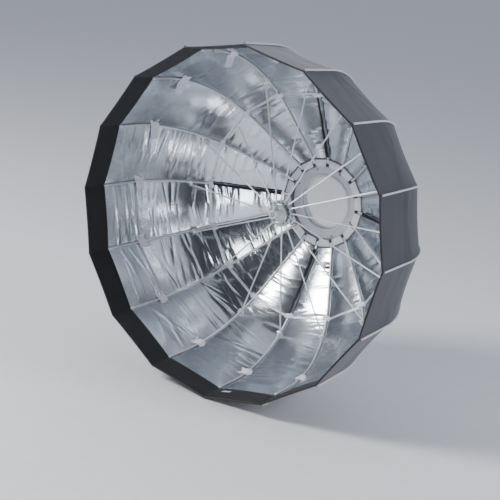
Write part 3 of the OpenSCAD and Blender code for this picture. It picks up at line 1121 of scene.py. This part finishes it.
@dataclass
class Straps:
    """Ties, tabs and tapes on the inside of the cover."""

    wardrobe: Wardrobe
    cover: Cover
    tape_ribs: tuple[int, ...] = (1, 5, 9, 13)
    tape_low: float = 0.022
    tape_high: float = 0.222
    tape_width: float = 0.011
    tape_lift: float = 0.0068
    seed: int = 5

    def crossing(self, rib: int, s: np.ndarray, t: np.ndarray, lift: np.ndarray) -> np.ndarray:
        """Points on the inside of the cover, measured sideways from a rib.

        Args:
            rib: The rib's number.
            s: Distances along it.
            t: Distances to its side, towards the next rib.
            lift: Heights over the lining.

        Returns:
            Points in the frame.
        """
        chord = 2 * self.cover.line.at(s, self.cover.lining_out)[0] * math.sin(HALF)
        ahead = self.cover.lining.place(rib, s, np.clip(t / chord, 0, 1), lift)
        behind = self.cover.lining.place((rib - 2) % RIBS + 1, s, np.clip(1 + t / chord, 0, 1), lift)
        return np.where((t >= 0)[..., None], ahead, behind)

    def wrap(self, mesh: PatchMesh, low: np.ndarray, top: np.ndarray, flat: np.ndarray) -> None:
        """Adds a strap between two grids of points, closed all round."""
        rise = unit(top - low)
        for points, sign in ((top, 1), (low, -1)):
            normals = unit(np.cross(np.gradient(points, axis=0), np.gradient(points, axis=1)))
            if (normals * rise).sum() * sign < 0:
                normals = -normals
            mesh.grid(points, flat, normals)
        centre = top.mean(axis=(0, 1))
        for edge in (np.s_[0, :], np.s_[-1, :], np.s_[:, 0], np.s_[:, -1]):
            wall = np.stack([low[edge], top[edge]])
            facing = unit(np.broadcast_to(wall.mean(axis=(0, 1)) - centre, wall.shape))
            mesh.grid(wall, np.stack([flat[edge], flat[edge] + 0.001]), facing)

    def slab(self, mesh: PatchMesh, rib: int, s: np.ndarray, t: np.ndarray, lift: np.ndarray,
             thickness: float) -> None:
        """A strap of a given thickness on a grid of s and t."""
        low, top = (self.crossing(rib, s, t, lift + extra) for extra in (0.0, thickness))
        self.wrap(mesh, low, top, np.stack([t, s], axis=-1))

    def strap_path(self, rib: int, strap: Strap, tilt: float) -> tuple[np.ndarray, np.ndarray, np.ndarray]:
        """The middle line of a strap: sewn uphill of the rod, laid over it, its free end hanging or lying.

        Args:
            rib: The rib's number.
            strap: Its sizes.
            tilt: How far it leans along the rib, as a slope.

        Returns:
            Points in the frame, the rib's direction there, and the inward direction.
        """
        a = float(self.cover.line.slope(np.array(strap.middle)))
        angle = rib_angle(rib)
        side = to_row(0.0, 1.0, 0.0, angle)
        along = to_row(math.cos(a), 0.0, math.sin(a), angle)
        inward = to_row(-math.sin(a), 0.0, math.cos(a), angle)
        axes = np.stack([side, along, inward])
        down = axes @ np.array([0.0, 0.0, -1.0]) * np.array([1.0, 0.25, 1.0])
        way = -1.0 if down[0] < -0.05 else 1.0
        steps = 44
        step = (strap.sewn + strap.loose) / steps
        place = np.array([-way * strap.sewn, 0.0, 0.0])
        heading = unit(np.array([way, tilt, 0.0]))
        found = []
        for k in range(steps + 1):
            bed = strap.clearance - self.cover.lining_out + abs(place[0]) * math.tan(HALF) * math.sin(a)
            over = strap.over_rod + strap.clearance
            tent = over - max(abs(place[0]) - strap.over_rod, 0) * strap.side_fall
            place[2] = max(bed, tent if k * step < strap.sewn + strap.held_past_rod else place[2])
            found.append(place.copy())
            free = min(max((k * step - strap.sewn - strap.free_from) / strap.bend_length, 0), 1)
            pull = unit(heading * (1 - free) + (0.35 * heading + 0.8 * down) * free)
            place = place + pull * step
        laid = np.array(found)
        gone = np.concatenate([[0.0], np.cumsum(np.linalg.norm(np.diff(laid, axis=0), axis=1))])
        even = np.linspace(0, strap.sewn + strap.loose, steps + 1)
        laid = np.stack([np.interp(even, gone, laid[:, k]) for k in range(3)], axis=-1)
        laid[1:-1] = 0.25 * laid[:-2] + 0.5 * laid[1:-1] + 0.25 * laid[2:]
        origin = np.array(self.cover.on_rib(rib, strap.middle))
        return origin + laid @ axes, along, inward

    def build_strap(self, rib: int, strap: Strap, draw: np.random.Generator) -> bpy.types.Object:
        """Builds one tie or tab, a little askew as sewn by hand.

        Args:
            rib: The rib's number.
            strap: Its sizes.
            draw: Where the small differences come from.

        Returns:
            The piece.
        """
        path, along, inward = self.strap_path(rib, strap, draw.normal(-0.25, 0.15))
        ahead = unit(np.gradient(path, axis=0))
        width = unit(along - (ahead @ along)[:, None] * ahead)
        up = unit(np.cross(ahead, width))
        up = up * np.sign((up @ inward).mean())
        across = np.linspace(-0.5, 0.5, 9) * strap.width
        far = np.linspace(0, 1, len(path))
        corner = 1 - strap.corner_cut * np.clip(abs(2 * far - 1) - 0.93, 0, 1) / 0.07
        belly = strap.belly * np.sin(far * 9)[:, None] * (4 * (across / strap.width) ** 2)
        low = path[:, None] + width[:, None] * (across * corner[:, None])[..., None]
        low = low + up[:, None] * belly[..., None]
        length = np.linspace(0, strap.sewn + strap.loose, len(path))
        flat = np.stack(np.broadcast_arrays(across[None], length[:, None]), axis=-1)
        mesh = PatchMesh()
        self.wrap(mesh, low, low + up[:, None] * strap.thickness, flat)
        made = mesh.build(f"{strap.name}_{rib:02d}", (WEBBING,), self.wardrobe)
        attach(made, rib_name("rib_unit_", rib))
        side = to_row(0.0, 1.0, 0.0, rib_angle(rib))
        self.cover.keep(strap.middle)
        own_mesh(made)
        return made

    def build_tape(self, rib: int) -> bpy.types.Object:
        """Builds the black tape that runs over the rod from the ring to the mid tie."""
        s_line = np.linspace(self.tape_low, self.tape_high, 60)
        t_line = np.linspace(-0.5, 0.5, 9) * self.tape_width
        s, t = np.meshgrid(s_line, t_line, indexing="ij")
        share = (s - self.tape_low) / (self.tape_high - self.tape_low)
        t = t * (1 - 0.25 * share)
        lift = self.tape_lift - 0.0022 * (2 * t / self.tape_width) ** 2 + 0.0008 * np.sin(share * 17)
        mesh = PatchMesh()
        self.slab(mesh, rib, s, t, lift, 0.0011)
        made = mesh.build(f"black_tape_{rib:02d}", (TAPE,), self.wardrobe)
        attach(made, rib_name("rib_unit_", rib))
        return made

    def build_label(self, rib: int = 13) -> bpy.types.Object:
        """Builds the small plain white tab that is sewn inside the lip."""
        s_line = np.linspace(self.cover.line.tip + 0.022, self.cover.line.tip + 0.034, 7)
        t_line = np.linspace(0.030, 0.054, 9)
        s, t = np.meshgrid(s_line, t_line, indexing="ij")
        curl = 0.0012 + 0.0015 * (s - s_line[0]) / (s_line[-1] - s_line[0])
        mesh = PatchMesh()
        self.slab(mesh, rib, s, t, curl, 0.0006)
        made = mesh.build("label_tab", (WEBBING,), self.wardrobe)
        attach(made, rib_name("rib_unit_", rib))
        side = to_row(0.0, 1.0, 0.0, rib_angle(rib))
        self.cover.keep(float(s_line[3]))
        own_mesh(made)
        return made

    def build(self) -> None:
        """Builds the ties, tabs and tapes of every rib."""
        draw = np.random.default_rng(self.seed)
        for rib in range(1, RIBS + 1):
            for kind in StrapKind:
                self.build_strap(rib, kind.value, draw)
        for rib in self.tape_ribs:
            self.build_tape(rib)
        self.build_label()
        LOG.info("straps: a mid tie and an outer tab on each rib, and %d tapes", len(self.tape_ribs))


@dataclass
class NeckBand:
    """The gathered black elastic that draws the cover's edge in round the speed ring."""

    wardrobe: Wardrobe
    inner_r: float = 0.1292
    low: float = 0.007
    high: float = 0.0295
    thickness: float = 0.0014
    gathers: int = 192
    depth: float = 0.0005

    def build(self) -> bpy.types.Object:
        """Builds the band."""
        turn = np.linspace(0, math.tau, self.gathers * 6 + 1)
        wave = self.depth * (0.6 + 0.4 * np.sin(turn * 7)) * np.cos(turn * self.gathers)
        section = np.linspace(0, math.tau, 25)
        tall, thick = (self.high - self.low) / 2, self.thickness / 2
        height = (self.high + self.low) / 2 + tall * np.sign(np.cos(section)) * abs(np.cos(section)) ** 0.35
        bulge = thick * np.sign(np.sin(section)) * abs(np.sin(section)) ** 0.35
        radius = self.inner_r + thick + bulge[None] + wave[:, None] + self.depth
        points = np.stack([radius * np.cos(turn)[:, None], -np.broadcast_to(height[None], radius.shape),
                           radius * np.sin(turn)[:, None]], axis=-1)
        normals = unit(np.cross(np.gradient(points, axis=0), np.gradient(points, axis=1)))
        out = points.copy()
        out[..., 1] = 0
        weight = (normals * unit(out) * np.sin(section)[None, :, None]).sum()
        if weight < 0:
            normals = -normals
        uv = np.stack(np.broadcast_arrays((turn * self.inner_r)[:, None], (section * tall)[None]), axis=-1)
        mesh = PatchMesh()
        mesh.grid(points, uv, normals)
        made = mesh.build("neck_band", (ELASTIC,), self.wardrobe)
        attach(made, "ring")
        LOG.info("neck band: %d gathers", self.gathers)
        return made


# ---------------------------------------------------------------- metal parts


@dataclass(frozen=True)
class Carried:
    """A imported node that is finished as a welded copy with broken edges."""

    node: str
    body: str
    finish: object
    bevel: float
    slot: str

    def build(self, nodes: dict[str, bpy.types.Object], wardrobe: Wardrobe) -> bpy.types.Object:
        """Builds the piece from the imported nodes."""
        made = piece_of(f"{self.node}_finished", welded_copy(nodes[self.node], self.bevel),
                        wardrobe.get(self.finish))
        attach(made, self.body)
        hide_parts(self.node)
        return made


@dataclass
class SpeedRing:
    """The ring that the ribs hinge on, with its insert, front cover, screws and pins."""

    wardrobe: Wardrobe
    nodes: dict[str, bpy.types.Object]
    circle: CircleOfParts
    pin_circle: float = 0.118
    pin_height: float = 0.028
    ring_inner: float = 0.104
    ring_outer: float = 0.1285
    slot_half: float = 0.0035
    block_face: float = 0.0338
    pad_rise: float = 0.0016
    pad_rim: float = 0.0015
    pad_corner: float = 0.0022
    pad_edge: float = 0.0007

    def build_pads(self) -> bpy.types.Object:
        """Builds the raised wedge-shaped pad on each of the ring's sixteen blocks. Their near-white is partly
        their paint and partly painted light on the lit block tops.
        """
        face, front_face = -self.block_face, -self.block_face - self.pad_rise
        inner, outer = self.ring_inner + self.pad_rim, self.ring_outer - 2 * self.pad_rim
        margin = self.slot_half + self.pad_rim
        made = bmesh.new()
        rows = []
        for depth in (face, front_face):
            ring = []
            for radius, ways in ((inner, (-1, 1)), (outer, (1, -1))):
                for way in ways:
                    swing = way * (HALF - margin / radius)
                    ring.append(made.verts.new((radius * math.cos(swing), depth, radius * math.sin(swing))))
            rows.append(ring)
        for k in range(4):
            made.faces.new((rows[0][k], rows[0][(k + 1) % 4], rows[1][(k + 1) % 4], rows[1][k]))
        made.faces.new(rows[1])
        made.faces.new(rows[0][::-1])
        bmesh.ops.recalc_face_normals(made, faces=made.faces)
        upright = [e for e in made.edges if abs(e.verts[0].co.y - e.verts[1].co.y) > 0.001]
        bmesh.ops.bevel(made, geom=upright, offset=self.pad_corner, segments=4, profile=0.5, affect="EDGES")
        front = [e for e in made.edges if max(v.co.y for v in e.verts) < front_face + 1e-4]
        bmesh.ops.bevel(made, geom=front, offset=self.pad_edge, segments=3, profile=0.5, affect="EDGES")
        soften(made, math.radians(38))
        mesh = bpy.data.meshes.new("ring_pad")
        made.to_mesh(mesh)
        made.free()
        pads = self.circle.make("ring_block_pads", mesh, RIBS, HALF, self.wardrobe.get(PAD_PAINT_AND_HIGHLIGHT))
        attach(pads, "ring")
        return pads

    def build_pins(self) -> bpy.types.Object:
        """Builds the sixteen hinge pins, each with a domed head at both ends."""
        half_len, r = 0.0115, 0.0015
        outline = [(0, -half_len), (r, -half_len + 0.0004), (r, half_len - 0.0004), (0, half_len)]
        centre = Vector((self.pin_circle, -self.pin_height, 0))
        pin = turned_part("hinge_pin", outline, centre, Vector((0, 0, 1)), 20)
        made = self.circle.make("rib_hinge_pins_finished", pin, RIBS, 0.0, self.wardrobe.get(SCREW_STEEL))
        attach(made, "ring")
        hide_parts("rib_hinge_pins")
        return made

    def build(self) -> None:
        """Builds the whole ring."""
        # The ring's finish carries painted shade as well as its paint.
        for carried in (Carried("speed_ring", "ring", RING_PAINT_AND_SHADE, 0.0005, "ring_paint"),
                        Carried("mount_insert", "ring", INSERT, 0.0004, "insert_steel"),
                        Carried("ring_cover", "ring", COVER_PLASTIC, 0.0, "cover_plastic"),
                        Carried("ring_screws", "ring", SCREW_STEEL, 0.0003, "screw_steel")):
            carried.build(self.nodes, self.wardrobe)
        self.build_pads()
        self.build_pins()
        LOG.info("speed ring: ring, insert, cover, screws, pads and pins")


@dataclass
class RibsAndStruts:
    """The bowed ribs and the straight struts, with their small fittings."""

    wardrobe: Wardrobe
    nodes: dict[str, bpy.types.Object]
    line: RibLine
    joint_angle: float = math.radians(46.7)
    joint_inset: float = 0.009
    rivet_r: float = 0.0026

    def joint(self) -> tuple[float, float]:
        """Radius and height of the strut's joint on the rib."""
        s = self.line.root_len + self.line.bow_r * (self.joint_angle - self.line.root_angle)
        r, h = self.line.at(np.array(s), -self.joint_inset)
        return float(r), float(h)

    def point(self, rib: int, radial: float, side: float, height: float) -> Vector:
        """A point in a rib's plane or beside it."""
        return Vector(to_row(radial, side, height, rib_angle(rib)))

    def rivet(self, rib: int, radial: float, height: float, side: float, way: int) -> bpy.types.Mesh:
        """A domed rivet head beside a rib, which faces along or against the side direction."""
        r = self.rivet_r
        outline = [(r, 0), (r, 0.0003), (r * 0.85, 0.0008), (r * 0.5, 0.0012), (0, 0.0013)]
        axis = Vector(to_row(0.0, float(way), 0.0, rib_angle(rib)))
        return turned_part("rivet", outline, self.point(rib, radial, side, height), axis, 16)

    def tip_cap(self, rib: int) -> bpy.types.Mesh:
        """The rounded end of a rib's cap."""
        r, h = (float(v) for v in self.line.at(np.array(self.line.tip)))
        a = self.line.rim_angle
        axis = Vector(to_row(math.cos(a), 0.0, math.sin(a), rib_angle(rib)))
        outline = [(0.0039, -0.0012), (0.0039, 0.0006), (0.0032, 0.0018), (0.0018, 0.0027), (0, 0.003)]
        return turned_part("tip_cap", outline, self.point(rib, r, 0.0, h), axis, 20)

    def build_rib(self, rib: int) -> bpy.types.Object:
        """Builds a rib with its rivets and cap."""
        node = rib_name("rib_", rib)
        radial, height = self.joint()
        rivet = self.rivet(rib, radial, height, -0.003, -1)
        parts = [welded_copy(self.nodes[node], 0.0), rivet, self.tip_cap(rib)]
        made = piece_of(f"{node}_finished", joined(node, parts), self.wardrobe.get(RIB_STEEL))
        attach(made, rib_name("rib_unit_", rib))
        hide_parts(node)
        return made

    def build_strut(self, rib: int) -> bpy.types.Object:
        """Builds a strut with its rivet heads."""
        node = rib_name("strut_", rib)
        radial, height = self.joint()
        parts = [welded_copy(self.nodes[node], 0.0), self.rivet(rib, radial, height, 0.00815, 1)]
        made = piece_of(f"{node}_finished", joined(node, parts), self.wardrobe.get(RIB_STEEL))
        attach(made, rib_name("strut_unit_", rib))
        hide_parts(node)
        return made

    def build(self) -> None:
        """Builds every rib and strut."""
        for rib in range(1, RIBS + 1):
            self.build_rib(rib)
            self.build_strut(rib)
        LOG.info("ribs and struts: %d of each", RIBS)


@dataclass
class Hub:
    """The sliding hub that the struts hinge on, and the pull ring on its front."""

    wardrobe: Wardrobe
    nodes: dict[str, bpy.types.Object]
    rod: SweptRod
    height: float = 0.250
    cup_r: float = 0.027
    staple_x: float = -0.012
    staple_z: float = 0.0195
    staple_half: float = 0.0035
    staple_rise: float = 0.0098
    staple_foot: float = 0.0142
    staple_r: float = 0.0009

    def build_cup(self) -> bpy.types.Object:
        """Builds the front cup: a rolled rim round a stepped recess, with the staple for the pull ring."""
        r = self.cup_r
        outline = [(0.0, 0.0150), (0.0050, 0.0150), (0.0054, 0.0146), (0.0150, 0.0146), (0.0156, 0.0142),
                   (0.0212, 0.0142), (0.0222, 0.0150), (0.0226, 0.0170), (0.0232, 0.0178), (0.0240, 0.0180),
                   (r - 0.0012, 0.0180), (r - 0.0004, 0.0177), (r, 0.0170), (r, 0.0134), (r - 0.0008, 0.0128),
                   (r - 0.0008, 0.0122), (r, 0.0116), (r, 0.0094), (r - 0.0006, 0.0086), (r - 0.0012, 0.0085),
                   (0.0, 0.0085)]
        cup = turned_part("cup", outline, Vector((0, -self.height, 0)), Vector((0, -1, 0)), 96)
        made = piece_of("hub_cup_finished", cup, self.wardrobe.get(HUB_METAL))
        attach(made, "hub")
        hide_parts("hub_cup")
        turn = np.linspace(0, math.pi, 15)
        legs = np.array([[1.0, 0.0], [1.0, 0.5]])
        bend = np.stack([np.cos(turn), 0.8 + 0.2 * np.sin(turn)], axis=-1)
        shape = np.concatenate([legs, bend, legs[::-1] * np.array([-1, 1])])
        path = np.stack([self.staple_x + shape[:, 0] * self.staple_half,
                         -(self.height + self.staple_foot + shape[:, 1] * self.staple_rise),
                         np.full(len(shape), self.staple_z)], axis=-1)
        staple = self.rod.make("hub_staple", path, self.staple_r, 16, self.wardrobe.get(BRIGHT_WIRE))
        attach(staple, "hub")
        return made

    def build(self) -> None:
        """Builds the hub and its ring."""
        for carried in (Carried("hub_body", "hub", HUB_METAL, 0.0004, "hub_metal"),
                        Carried("hub_back_plate", "hub", HUB_METAL, 0.0003, "hub_metal"),
                        Carried("hub_screw", "hub", SCREW_STEEL, 0.0002, "screw_steel"),
                        Carried("strut_pins", "hub", SCREW_STEEL, 0.0, "screw_steel"),
                        Carried("pull_link", "link", BRIGHT_WIRE, 0.0, "bright_wire"),
                        Carried("pull_ring", "pull", BRIGHT_WIRE, 0.0, "bright_wire")):
            carried.build(self.nodes, self.wardrobe)
        self.build_cup()
        LOG.info("hub: body, plate, cup, screw, pins, link and pull ring")


# ---------------------------------------------------------------- the studio


@dataclass(frozen=True)
class SoftBox:
    """An area light."""

    name: str
    place: tuple[float, float, float]
    aim: tuple[float, float, float]
    size: tuple[float, float]
    power: float
    color: Color = (1.0, 1.0, 1.0)

    def make(self) -> bpy.types.Object:
        """Adds the light to the scene."""
        lamp = bpy.data.lights.new(self.name, "AREA")
        lamp.shape = "RECTANGLE"
        lamp.size, lamp.size_y = self.size
        lamp.energy = self.power
        lamp.color = self.color
        made = bpy.data.objects.new(self.name, lamp)
        bpy.context.scene.collection.objects.link(made)
        made.location = self.place
        made.rotation_euler = (Vector(self.aim) - Vector(self.place)).to_track_quat("-Z", "Y").to_euler()
        return made


@dataclass
class Studio:
    """A pale floor, soft lights and the camera. The sky is dimmer in front of the mouth than behind it."""

    wardrobe: Wardrobe
    camera_at: tuple[float, float, float] = (1.78, -3.17, 0.81)
    camera_aim: tuple[float, float, float] = (-0.0787, -0.26, -0.122)
    camera_roll: float = math.radians(6.9)
    lens: float = 93.6
    sensor: float = 36.0
    floor_half: float = 60.0
    sky: Color = (0.80, 0.86, 1.0)
    sky_turn: tuple[float, float] = (-0.3, 0.5)
    sky_strengths: tuple[float, float] = (0.75, 0.07)
    lights: tuple[SoftBox, ...] = (
        SoftBox("key", (-2.4, -3.0, 2.6), (0, -0.3, 0), (1.3, 1.3), 230.0),
        SoftBox("front_fill", (1.4, -3.8, 0.35), (0, -0.2, 0), (0.9, 0.9), 26.0, (0.92, 0.96, 1.0)),
        SoftBox("side_strip", (3.2, 0.2, 1.2), (0.3, -0.2, 0), (0.5, 2.2), 50.0, (0.9, 0.93, 1.0)),
    )

    def build_camera(self) -> None:
        """Sets the camera, turned a little about its own axis."""
        data = bpy.data.cameras.new("camera")
        data.lens, data.sensor_width = self.lens, self.sensor
        made = bpy.data.objects.new("camera", data)
        bpy.context.scene.collection.objects.link(made)
        ahead = (Vector(self.camera_aim) - Vector(self.camera_at)).normalized()
        right = ahead.cross(Vector((0, 0, 1))).normalized()
        up = right.cross(ahead)
        c, s = math.cos(self.camera_roll), math.sin(self.camera_roll)
        turned_right, turned_up = right * c + up * s, up * c - right * s
        turn = Matrix((turned_right, turned_up, -ahead)).transposed()
        made.matrix_world = Matrix.Translation(self.camera_at) @ turn.to_4x4()
        bpy.context.scene.camera = made

    def build_floor(self, height: float) -> None:
        """Lays the floor at a height."""
        mesh = bpy.data.meshes.new("floor")
        h = self.floor_half
        corners = [(-h, -h, height), (h, -h, height), (h, h, height), (-h, h, height)]
        mesh.from_pydata(corners, [], [(0, 1, 2, 3)])
        piece_of("floor", mesh, self.wardrobe.get(FLOOR))

    def build(self, lowest: float) -> None:
        """Builds the studio, with the floor under the object's lowest point."""
        self.build_camera()
        self.build_floor(lowest - 0.002)
        world = bpy.data.worlds.new("studio")
        world.use_nodes = True
        tree = world.node_tree
        back = tree.nodes["Background"]
        back.inputs["Color"].default_value = (*self.sky, 1)
        toward = tree.nodes.new("ShaderNodeNewGeometry")
        split = tree.nodes.new("ShaderNodeSeparateXYZ")
        fade = tree.nodes.new("ShaderNodeMapRange")
        values = (*self.sky_turn, *self.sky_strengths)
        for name, value in zip(("From Min", "From Max", "To Min", "To Max"), values):
            fade.inputs[name].default_value = value
        tree.links.new(toward.outputs["Incoming"], split.inputs[0])
        tree.links.new(split.outputs["Y"], fade.inputs["Value"])
        tree.links.new(fade.outputs["Result"], back.inputs["Strength"])
        bpy.context.scene.world = world
        for light in self.lights:
            light.make()
        LOG.info("studio: floor, %d lights and camera", len(self.lights))


def main() -> None:
    """Loads the frame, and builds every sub-assembly in order."""
    logging.basicConfig(level=logging.INFO, format="%(name)s: %(message)s")
    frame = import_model()
    wardrobe = Wardrobe()
    lowest = min(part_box(rib_name("canopy_", rib))[0].z for rib in range(1, RIBS + 1))
    Studio(wardrobe).build(lowest)
    cover = Cover(wardrobe)
    cover.build()
    Straps(wardrobe, cover).build()
    NeckBand(wardrobe).build()
    SpeedRing(wardrobe, frame["nodes"], CircleOfParts()).build()
    RibsAndStruts(wardrobe, frame["nodes"], cover.line).build()
    Hub(wardrobe, frame["nodes"], SweptRod()).build()


if __name__ == "__main__":
    main()
